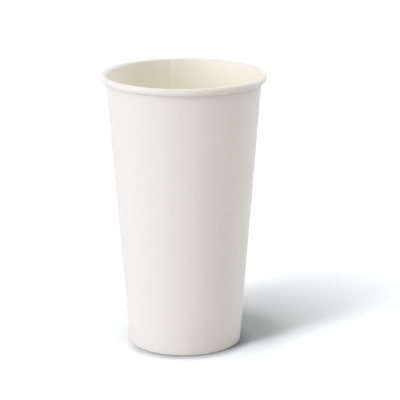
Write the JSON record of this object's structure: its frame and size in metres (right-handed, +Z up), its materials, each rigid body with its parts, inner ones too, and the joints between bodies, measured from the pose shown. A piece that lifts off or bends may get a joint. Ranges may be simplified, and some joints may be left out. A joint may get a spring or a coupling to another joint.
{
  "type": "paper coffee cup",
  "caption": "Tapered single-wall paper cup with a rolled rim, a lapped side seam, a turned-in foot and a recessed paper bottom.",
  "frame": {"origin": "centre of the foot, on the table", "axes": "+Z up along the cup's axis to the rim, +Y towards the side seam, +X to the right when the seam is at the back"},
  "size_m": [0.09, 0.09, 0.15],
  "materials": {
    "sidewall_board": "matt white board outside, thin clear coating inside and over the rim",
    "disc_board": "matt board under, thin clear coating above"
  },
  "bodies": {
    "root": {"sidewall": "sidewall_board", "bottom_disc": "disc_board"}
  },
  "joints": []
}
